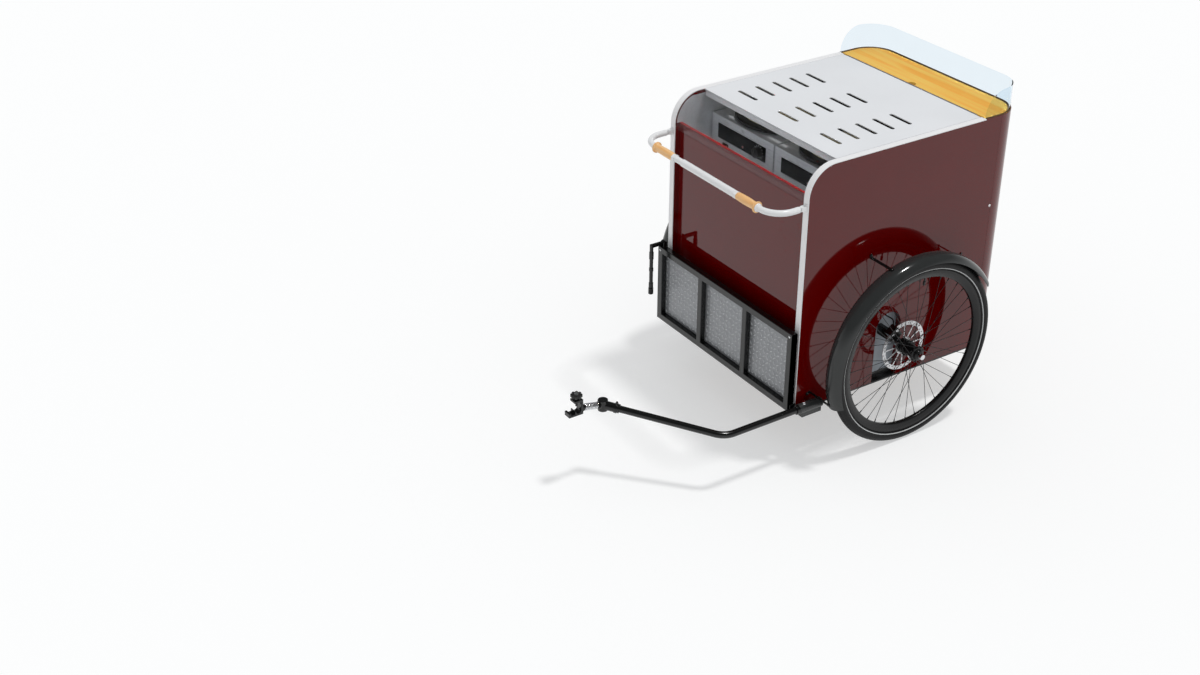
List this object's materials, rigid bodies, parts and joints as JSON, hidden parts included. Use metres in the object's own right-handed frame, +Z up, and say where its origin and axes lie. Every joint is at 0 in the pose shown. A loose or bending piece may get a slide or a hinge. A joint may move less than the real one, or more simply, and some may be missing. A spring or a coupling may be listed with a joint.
{
  "type": "bicycle food cart",
  "caption": "Towed bicycle food cart: round-cornered body with lidded griddles, cutting-board counter, clear guard, fold-down step, push handle, braked spoked wheels and a spring hitch.",
  "frame": {"origin": "on the floor, midway between the wheels, straight under the axle", "axes": "+X is the direction of travel towards the hitch, +Y is the cart's left, +Z is up"},
  "size_m": [1.697, 1.112, 1.1999],
  "materials": {
    "burgundy_panel": "glossy burgundy laminate",
    "white_trim": "white edging",
    "white_lid": "white sheet",
    "white_metal": "white powder coat",
    "black_metal": "black powder coat",
    "grey_metal": "grey powder coat",
    "grey_fender": "dark grey moulding",
    "stainless": "brushed stainless steel",
    "bright_steel": "bright plated steel",
    "cast_plate": "seasoned cast iron",
    "black_fascia": "glossy black",
    "black_plastic": "matt black",
    "red_lamp": "red lens",
    "green_rocker": "dark green rocker",
    "tyre_rubber": "black rubber",
    "foot_rubber": "black rubber",
    "black_alloy": "black anodised",
    "tread_alloy": "embossed chequer plate",
    "board_wood": "oiled light wood",
    "rim_wood": "oiled brown wood",
    "grip_wood": "varnished wood",
    "floor_wood": "plywood",
    "clear_guard": "clear sheet",
    "smoky_window": "smoky clear sheet"
  },
  "bodies": {
    "cart": {"chassis_frame": "black_metal", "floor_panel": "floor_wood", "axle_plates": "grey_metal", "stub_axles": "bright_steel", "side_panel_left": "burgundy_panel", "side_panel_right": "burgundy_panel", "edge_trims": "white_trim", "rear_panel": "burgundy_panel", "front_panel": "burgundy_panel", "lip_rail": "burgundy_panel", "fenders": "grey_fender", "fender_straps": "black_metal", "brake_calipers": "black_alloy", "brake_hoses": "stainless", "deck": "stainless", "griddle_housings": "stainless", "griddle_plates": "cast_plate", "heating_rings": "stainless", "control_fascias": "black_fascia", "indicator_lamps": "red_lamp", "top_rails": "white_metal", "lid_hinge_fixed": "stainless", "counter_rim": "rim_wood", "guard": "clear_guard", "side_caps": "white_trim", "handle_brackets": "white_metal", "platform_lugs": "black_metal", "drawbar_socket": "grey_metal", "socket_bolt": "bright_steel", "drawbar": "black_metal", "hitch_sleeve": "black_metal", "hitch_spring": "bright_steel"},
    "wheel_left": {"tyre_left": "tyre_rubber", "rim_left": "black_alloy", "spokes_left": "black_metal", "hub_left": "black_alloy", "brake_disc_left": "stainless"},
    "wheel_right": {"tyre_right": "tyre_rubber", "rim_right": "black_alloy", "spokes_right": "black_metal", "hub_right": "black_alloy", "brake_disc_right": "stainless"},
    "lid": {"lid_panel": "white_lid", "window": "smoky_window", "lid_hinge_moving": "stainless"},
    "handle": {"handle_tube": "white_metal", "handle_grips": "grip_wood", "handle_collars": "white_trim"},
    "platform": {"platform_frame": "black_metal", "tread_plates": "tread_alloy"},
    "leg": {"prop_leg": "black_metal", "leg_foot": "foot_rubber"},
    "heat_knob_left": {"knob_left": "black_plastic"},
    "heat_knob_right": {"knob_right": "black_plastic"},
    "main_switch": {"rocker_switch": "green_rocker"},
    "board": {"cutting_board": "board_wood"},
    "hitch_head": {"hitch_clamp": "black_metal"},
    "clamp_knob": {"star_knob": "black_plastic"}
  },
  "joints": [
    {"name": "wheel_left_spin", "type": "hinge", "parent": "cart", "child": "wheel_left", "pos_m": [0, 0.5, 0.353], "axis": [0, 1, 0], "continuous": true},
    {"name": "wheel_right_spin", "type": "hinge", "parent": "cart", "child": "wheel_right", "pos_m": [0, -0.5, 0.353], "axis": [0, 1, 0], "continuous": true},
    {"name": "lid_lift", "type": "hinge", "parent": "cart", "child": "lid", "pos_m": [-0.345, 0, 1.106], "axis": [0, -1, 0], "range_deg": [0, 88]},
    {"name": "handle_fold", "type": "hinge", "parent": "cart", "child": "handle", "pos_m": [0.4395, 0, 0.968], "axis": [0, 1, 0], "range_deg": [0, 90]},
    {"name": "platform_fold", "type": "hinge", "parent": "cart", "child": "platform", "pos_m": [0.441, 0, 0.207], "axis": [0, 1, 0], "range_deg": [0, 90]},
    {"name": "leg_swing", "type": "hinge", "parent": "platform", "child": "leg", "pos_m": [0.448, -0.3845, 0.524], "axis": [0, -1, 0], "range_deg": [0, 90]},
    {"name": "heat_knob_left_turn", "type": "hinge", "parent": "cart", "child": "heat_knob_left", "pos_m": [0.275, 0.2825, 0.956], "axis": [1, 0, 0], "range_deg": [0, 270]},
    {"name": "heat_knob_right_turn", "type": "hinge", "parent": "cart", "child": "heat_knob_right", "pos_m": [0.275, -0.0825, 0.956], "axis": [1, 0, 0], "range_deg": [0, 270]},
    {"name": "main_switch_rock", "type": "hinge", "parent": "cart", "child": "main_switch", "pos_m": [0.257, -0.2765, 0.906], "axis": [0, 0, 1], "range_deg": [0, 14]},
    {"name": "board_lift", "type": "slide", "parent": "cart", "child": "board", "axis": [0, 0, 1], "range_m": [0, 0.1]},
    {"name": "hitch_flex", "type": "hinge", "parent": "cart", "child": "hitch_head", "pos_m": [1.08089, 0.1, 0.2816], "axis": [0, 0, 1], "range_deg": [-45, 45], "stiffness_Nm_per_rad": 60, "deforming": ["hitch_spring"]},
    {"name": "clamp_knob_turn", "type": "hinge", "parent": "hitch_head", "child": "clamp_knob", "pos_m": [1.13703, 0.1, 0.28971], "axis": [0, 0, 1], "continuous": true}
  ]
}
